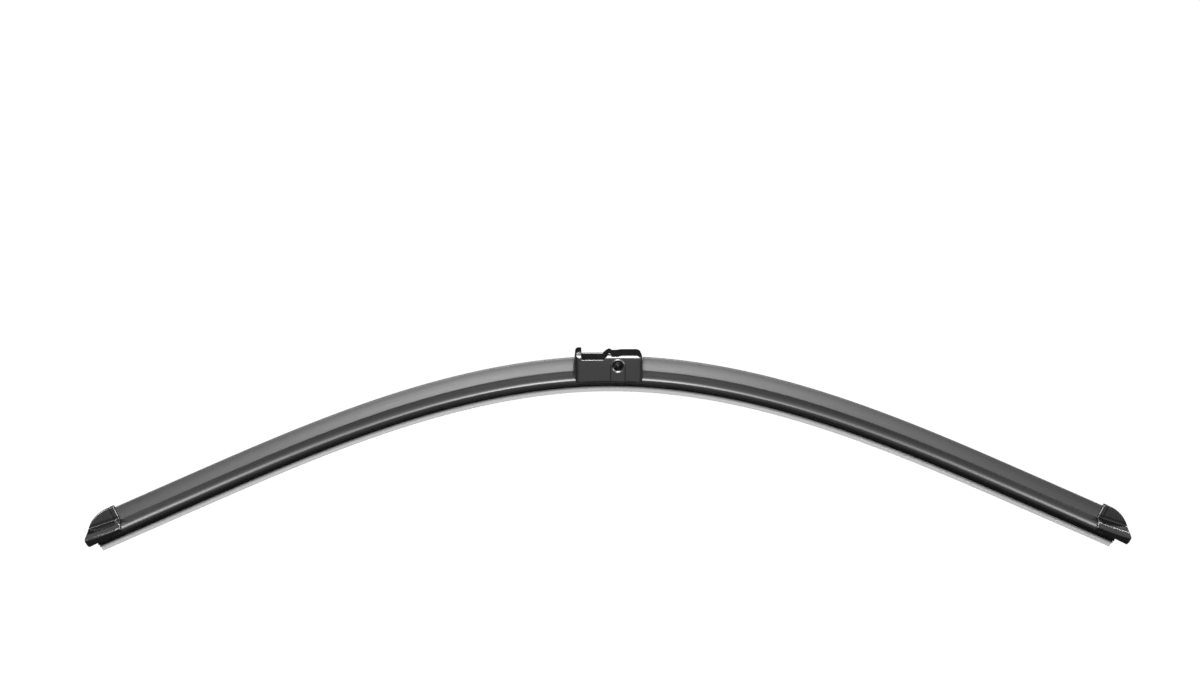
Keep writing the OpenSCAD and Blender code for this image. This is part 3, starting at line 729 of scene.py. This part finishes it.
def finish(name, color, rough, relief, grain=EVEN, scale=GRAIN_SCALE, level=0.5, along=False):
    """Principled shader: noise, on object or straightened coordinates, varies colour, gloss and a bump.

    Colour runs from c (1 - tint) to c (1 + tint), roughness from r minus to r plus the swing.
    """
    material = bpy.data.materials.new(name)
    material.use_nodes = True
    nodes, links = material.node_tree.nodes, material.node_tree.links
    shader = nodes["Principled BSDF"]
    shader.inputs["Specular IOR Level"].default_value = level
    if along:
        coords = nodes.new("ShaderNodeAttribute")
        coords.attribute_name = "straight"
        source = coords.outputs["Vector"]
    else:
        coords = nodes.new("ShaderNodeTexCoord")
        source = coords.outputs["Object"]
    mapping = nodes.new("ShaderNodeMapping")
    mapping.inputs["Scale"].default_value = grain
    noise = nodes.new("ShaderNodeTexNoise")
    noise.inputs["Scale"].default_value = scale
    noise.inputs["Detail"].default_value = GRAIN_DETAIL
    ramp = nodes.new("ShaderNodeValToRGB")
    ramp.color_ramp.elements[0].position = LOW_NOISE
    ramp.color_ramp.elements[1].position = HIGH_NOISE
    ramp.color_ramp.elements[0].color = (*[c * (1 - TINT) for c in color], 1)
    ramp.color_ramp.elements[1].color = (*[c * (1 + TINT) for c in color], 1)
    gloss = nodes.new("ShaderNodeMapRange")
    gloss.inputs["To Min"].default_value = rough - ROUGH_SWING
    gloss.inputs["To Max"].default_value = rough + ROUGH_SWING
    bump = nodes.new("ShaderNodeBump")
    bump.inputs["Strength"].default_value = BUMP_STRENGTH
    bump.inputs["Distance"].default_value = relief * MM
    links.new(source, mapping.inputs["Vector"])
    links.new(mapping.outputs["Vector"], noise.inputs["Vector"])
    links.new(noise.outputs["Fac"], ramp.inputs["Fac"])
    links.new(noise.outputs["Fac"], gloss.inputs["Value"])
    links.new(noise.outputs["Fac"], bump.inputs["Height"])
    links.new(ramp.outputs["Color"], shader.inputs["Base Color"])
    links.new(gloss.outputs["Result"], shader.inputs["Roughness"])
    links.new(bump.outputs["Normal"], shader.inputs["Normal"])
    print(f"finish {name}: roughness {rough}")
    return material


# %% The finishes
rubber_finish = finish("matt_rubber", grey(0.004), 0.45, 0.004, grain=(0.2, 1, 1), level=0.06, along=True)
spoiler_finish = finish("satin_spoiler", grey(0.007), 0.42, 0.002, grain=(0.02, 1, 1), level=0.6, along=True)
housing_finish = finish("textured_housing", grey(0.012), 0.32, 0.02, scale=1400)
cap_finish = finish("gloss_cap", grey(0.008), 0.2, 0.0005, level=0.6)
rail_finish = finish("coated_rail", grey(0.02), 0.4, 0.003)
clamp_finish = finish("black_steel", grey(0.02), 0.4, 0.004)

# %% [markdown]
# ## The pale coat of the lip, with painted sheen
#
# The graphite coat makes the wiping lip paler. The pale grey painted on it also
# stands in for the white surroundings mirrored in the lip, and its fade up the
# rubber is painted shade where the lip turns away under the shoulder. It could
# be a second piece or a painted image, but a blend over the height above the
# lip's edge follows the bow by itself.

# %% The coat of the lip, with painted reflection and painted shade
# Painted reflection and painted shade: the grey and its fade stand for the graphite coat, and also for the
# white surroundings mirrored in the lip as it turns away.
COAT_AND_SHEEN_LOW, COAT_AND_SHEEN_HIGH, COAT_AND_SHEEN_GREY = 1.6, 4.0, 0.4
nodes, links = rubber_finish.node_tree.nodes, rubber_finish.node_tree.links
shader = nodes["Principled BSDF"]
dark = shader.inputs["Base Color"].links[0].from_socket
split = nodes.new("ShaderNodeSeparateXYZ")
links.new(nodes["Attribute"].outputs["Vector"], split.inputs[0])
coat_and_sheen_fade = nodes.new("ShaderNodeMapRange")
coat_and_sheen_fade.inputs["From Min"].default_value = COAT_AND_SHEEN_HIGH * MM
coat_and_sheen_fade.inputs["From Max"].default_value = COAT_AND_SHEEN_LOW * MM
links.new(split.outputs["Z"], coat_and_sheen_fade.inputs["Value"])
blend = nodes.new("ShaderNodeMix")
blend.data_type = "RGBA"
# Painted reflection: this pale grey is partly the graphite coat and partly the white surroundings'
# reflection painted into the colour.
blend.inputs["B"].default_value = (*grey(COAT_AND_SHEEN_GREY), 1)
links.new(coat_and_sheen_fade.outputs["Result"], blend.inputs["Factor"])
links.new(dark, blend.inputs["A"])
links.new(blend.outputs["Result"], shader.inputs["Base Color"])
print("the coat fades from", COAT_AND_SHEEN_LOW, "to", COAT_AND_SHEEN_HIGH, "mm above the lip's edge")


# %% Each piece gets its finish
def dress(piece, material):
    """Gives a piece, or a CAD node, one finish."""
    piece.data.materials.clear()
    piece.data.materials.append(material)


for piece, material in (
    [(squeegee, rubber_finish), (housing, housing_finish)]
    + [(piece, spoiler_finish) for piece in spoilers]
    + [(piece, cap_finish) for piece in end_caps]
    + [(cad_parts[name], rail_finish) for name in ("front_rail", "rear_rail")]
    + [(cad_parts["rail_clamp"], clamp_finish)]
):
    dress(piece, material)
    print(piece.name, "is finished in", material.name)

# %% [markdown]
# ## White surroundings
#
# The blade hangs before plain white, with no shadow under it. A cut-out picture
# would do that afterwards. Here the floor and the world look white to the camera,
# to a mirror and through glass, and are a dull grey for the light that reaches
# the object, so the dark plastic isn't washed out.

# %% White for what sees, dull for what lights
FLOOR_DROP, FLOOR_HALF = 0.25, 6.0
PAPER_GREY, PAPER_ROUGH, PAPER_GLOW, WORLD_GREY = 0.8, 0.9, 0.7, 0.45


def backdrop_shader(tree, dull):
    """White for camera, mirror and glass rays, and the dull shader for the light that reaches the object."""
    nodes, links = tree.nodes, tree.links
    path = nodes.new("ShaderNodeLightPath")
    seen = nodes.new("ShaderNodeMath")
    seen.operation = "MAXIMUM"
    seen_too = nodes.new("ShaderNodeMath")
    seen_too.operation = "MAXIMUM"
    links.new(path.outputs["Is Camera Ray"], seen.inputs[0])
    links.new(path.outputs["Is Glossy Ray"], seen.inputs[1])
    links.new(seen.outputs[0], seen_too.inputs[0])
    links.new(path.outputs["Is Transmission Ray"], seen_too.inputs[1])
    mix = nodes.new("ShaderNodeMixShader")
    links.new(seen_too.outputs[0], mix.inputs[0])
    links.new(dull, mix.inputs[1])
    return mix


# %% Floor
floor_mesh = bpy.data.meshes.new("floor")
floor_z = cad_low.z - FLOOR_DROP
floor_mesh.from_pydata(
    [(-FLOOR_HALF, -FLOOR_HALF, floor_z), (FLOOR_HALF, -FLOOR_HALF, floor_z),
     (FLOOR_HALF, FLOOR_HALF, floor_z), (-FLOOR_HALF, FLOOR_HALF, floor_z)],
    [], [(0, 1, 2, 3)],
)
floor = bpy.data.objects.new("floor", floor_mesh)
bpy.context.scene.collection.objects.link(floor)
paper = bpy.data.materials.new("white_paper")
paper.use_nodes = True
tree = paper.node_tree
dull = tree.nodes["Principled BSDF"]
dull.inputs["Base Color"].default_value = (*grey(PAPER_GREY), 1)
dull.inputs["Roughness"].default_value = PAPER_ROUGH
glow = tree.nodes.new("ShaderNodeEmission")
mix = backdrop_shader(tree, dull.outputs["BSDF"])
glow.inputs["Strength"].default_value = PAPER_GLOW
lit_paper = tree.nodes.new("ShaderNodeAddShader")
tree.links.new(glow.outputs[0], lit_paper.inputs[0])
tree.links.new(dull.outputs["BSDF"], lit_paper.inputs[1])
tree.links.new(lit_paper.outputs[0], mix.inputs[2])
tree.links.new(mix.outputs[0], tree.nodes["Material Output"].inputs["Surface"])
floor_mesh.materials.append(paper)
print("the floor lies", FLOOR_DROP, "m below the lowest point of the part")

# %% World
world = bpy.data.worlds.new("surroundings")
bpy.context.scene.world = world
world.use_nodes = True
tree = world.node_tree
sky = tree.nodes["Background"]
sky.inputs["Color"].default_value = (*grey(WORLD_GREY), 1)
white = tree.nodes.new("ShaderNodeBackground")
white.inputs["Color"].default_value = (*grey(1.0), 1)
mix = backdrop_shader(tree, sky.outputs["Background"])
tree.links.new(white.outputs[0], mix.inputs[2])
tree.links.new(mix.outputs[0], tree.nodes["World Output"].inputs["Surface"])
bpy.context.scene.view_settings.view_transform = "Standard"
print("the world lights the part with grey", WORLD_GREY)

# %% [markdown]
# ## Lamps
#
# Dark plastic shows its form by what it mirrors: a broad sheen on the fin, a
# fine line on each edge. One lamp in front lights all but the housing as a
# softbox does. The others add to mirrored light alone, and most of them light a
# few pieces only. One set of lamps for every piece would be simpler, but a lamp
# that draws the housing's edges floods the caps.


# %% Softbox
def softbox(name, at, aim, width, height, watts, only_gloss=False):
    """An area light at one place that faces another; it may add to the mirrored light alone."""
    lamp = bpy.data.lights.new(name, "AREA")
    lamp.shape = "RECTANGLE"
    lamp.size, lamp.size_y = width, height
    lamp.energy = watts
    box = bpy.data.objects.new(name, lamp)
    bpy.context.scene.collection.objects.link(box)
    facing = (Vector(aim) - Vector(at)).to_track_quat("-Z", "Y")
    box.location, box.rotation_euler = at, facing.to_euler()
    box.visible_diffuse = not only_gloss
    print(f"{name}: {watts} W")
    return box


# %% The lamps
front_light = softbox("front_light", (-0.06, -1.0, -0.16), (-0.06, 0, 0), 0.45, 0.3, 9.8)
softbox("top_light", (-0.02, -0.8, 0.62), (0, 0, 0), 0.6, 0.5, 34.0, only_gloss=True)
side_lights = [
    softbox("left_light", (-1.1, -0.4, 0.45), (0, 0, 0), 0.5, 0.5, 28.0, only_gloss=True),
    softbox("right_light", (1.1, -0.4, 0.45), (0, 0, 0), 0.5, 0.5, 20.0, only_gloss=True),
]
housing_lights = [
    softbox("edge_light", (0.0, -0.45, 0.65), (0, 0, 0), 0.3, 0.9, 19.0, only_gloss=True),
    softbox("ring_light", (0.0, -0.24, 0.74), (0, 0, 0), 0.9, 0.2, 14.0, only_gloss=True),
    softbox("wall_light", (0.0, -1.0, -0.31), (0, 0, 0), 0.6, 0.3, 0.55, only_gloss=True),
]
ridge_aim, rim_aim = (0.28, 0, -0.1), (0, 0, -0.08)
ridge_light = softbox("ridge_light", (0.82, 0.44, 0.47), ridge_aim, 0.15, 0.08, 2.2, only_gloss=True)
rim_light = softbox("rim_light", (0, 0.34, 0.66), rim_aim, 1.2, 0.14, 40.0, only_gloss=True)


# %% Which piece each lamp lights
def light_only(lamp, pieces):
    """Flags a lamp off from every other piece, as black cards on stands would."""
    lit = bpy.data.collections.new("lit_by_" + lamp.name)
    for piece in pieces:
        lit.objects.link(piece)
    lamp.light_linking.receiver_collection = lit
    print(lamp.name, "lights", ", ".join(piece.name for piece in pieces))


light_only(front_light, [squeegee, *spoilers, *end_caps])
light_only(ridge_light, end_caps[1:])
for lamp in housing_lights:
    light_only(lamp, [housing])
light_only(side_lights[0], [squeegee, *spoilers, *end_caps])
light_only(side_lights[1], [squeegee, *spoilers, housing])
light_only(rim_light, end_caps)

# %% [markdown]
# ## Dark cards
#
# White all round would be mirrored in the underside and the rear edges and turn
# them pale. In a studio black cards hang just out of the picture. A rougher
# finish would hide the white too, but it would also lose the fine bright lines.


# %% Dark cards
def dark_card(name, corners):
    """A black sheet that only mirror rays meet, as a studio hangs one to keep gloss dark."""
    mesh = bpy.data.meshes.new(name)
    mesh.from_pydata(corners, [], [(0, 1, 2, 3)])
    card = bpy.data.objects.new(name, mesh)
    bpy.context.scene.collection.objects.link(card)
    black = bpy.data.materials.new(name)
    black.use_nodes = True
    shader = black.node_tree.nodes["Principled BSDF"]
    shader.inputs["Base Color"].default_value = (*grey(0.0), 1)
    shader.inputs["Specular IOR Level"].default_value = 0.0
    mesh.materials.append(black)
    card.visible_camera = card.visible_diffuse = card.visible_shadow = card.visible_transmission = False
    print(name, "hangs in the mirrored surroundings")


HALF, FRONT, REAR, TOP = 3.0, -0.95, 1.6, 2.0
card_z = floor_z + 0.01
rear_edge = [(-HALF, REAR, card_z), (HALF, REAR, card_z)]
dark_card("low_card", [(-HALF, FRONT, card_z), (HALF, FRONT, card_z), *rear_edge[::-1]])
dark_card("rear_card", [*rear_edge, (HALF, REAR, TOP), (-HALF, REAR, TOP)])

# %% [markdown]
# ## Camera
#
# The view is slightly from above, a degree to the side and very slightly
# rolled. Its numbers come from a solution that lays measured points of the part
# on the same points of the photograph. A camera set by eye is quicker, but then
# each of its errors looks like an error of the part.

# %% Camera
CAM_DISTANCE, CAM_ELEVATION, CAM_AZIMUTH, CAM_ROLL = 1.5, 17.5, 1.003, 0.222
CAM_LENS, SENSOR = 82.98, 36.0
AIM = Vector((-9.66, 0.0, 14.42)) * MM

el, az, roll = (math.radians(v) for v in (CAM_ELEVATION, CAM_AZIMUTH, CAM_ROLL))
look = Vector((math.sin(az) * math.cos(el), math.cos(az) * math.cos(el), -math.sin(el)))
right = Vector((math.cos(az), -math.sin(az), 0.0))
up = right.cross(look)
right, up = math.cos(roll) * right + math.sin(roll) * up, math.cos(roll) * up - math.sin(roll) * right
cam_data = bpy.data.cameras.new("camera")
cam_data.lens, cam_data.sensor_width, cam_data.sensor_fit = CAM_LENS, SENSOR, "HORIZONTAL"
camera = bpy.data.objects.new("camera", cam_data)
bpy.context.scene.collection.objects.link(camera)
turn = Matrix((right, up, -look)).transposed().to_4x4()
camera.matrix_world = Matrix.Translation(AIM - look * CAM_DISTANCE) @ turn
bpy.context.scene.camera = camera
print("camera at", [round(v, 4) for v in camera.matrix_world.translation])

# %% Sizes, and the end of the scene
print("CAD box", [round(v, 4) for v in (*cad_low, *cad_high)])
